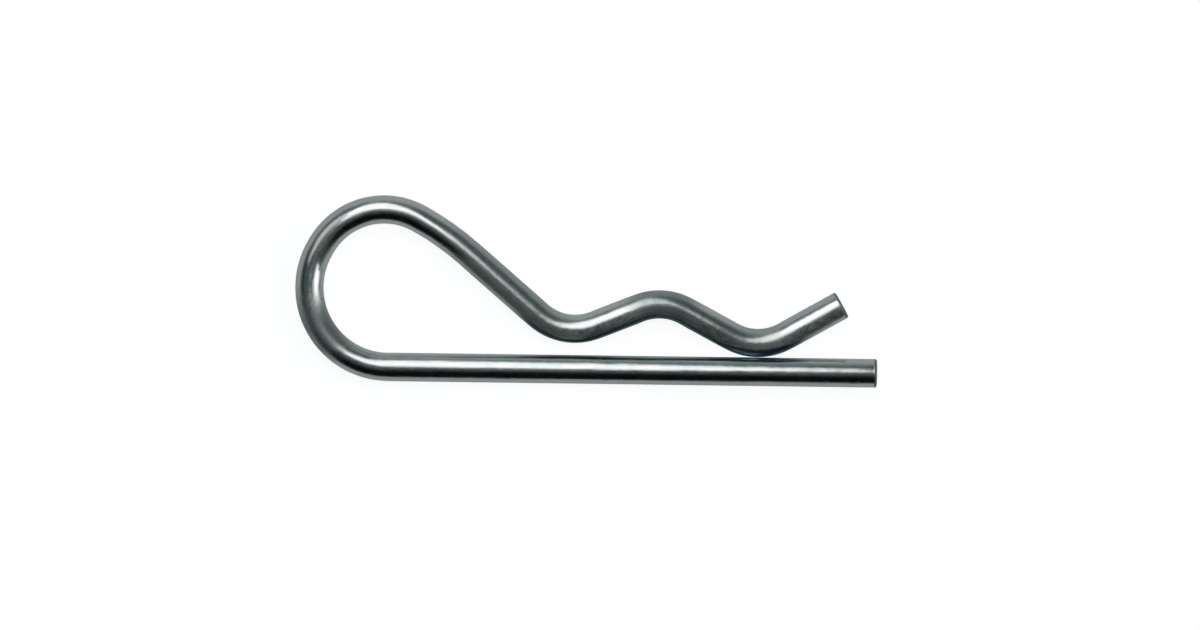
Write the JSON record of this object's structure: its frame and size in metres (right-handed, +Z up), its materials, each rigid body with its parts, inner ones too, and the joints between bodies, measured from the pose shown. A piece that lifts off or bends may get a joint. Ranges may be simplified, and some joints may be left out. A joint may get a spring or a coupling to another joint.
{
  "type": "hitch pin r clip",
  "caption": "Spring wire clip bent like an R: a straight leg for a cross hole, a round pull loop, and a waved leg that snaps over the shaft to keep a hitch pin in place.",
  "frame": {"origin": "underneath the clip as it lies flat on its side, in the middle of its outline", "axes": "+X along the straight leg to its tip, +Y from the straight leg to the waved leg, +Z up, square to the plane that all the bends lie in"},
  "size_m": [0.0652, 0.0208, 0.0032],
  "materials": {
    "zinc_plated_wire": "bright zinc plate, cool grey, over smooth drawn wire"
  },
  "bodies": {
    "root": {"clip_wire": "zinc_plated_wire"}
  },
  "joints": []
}
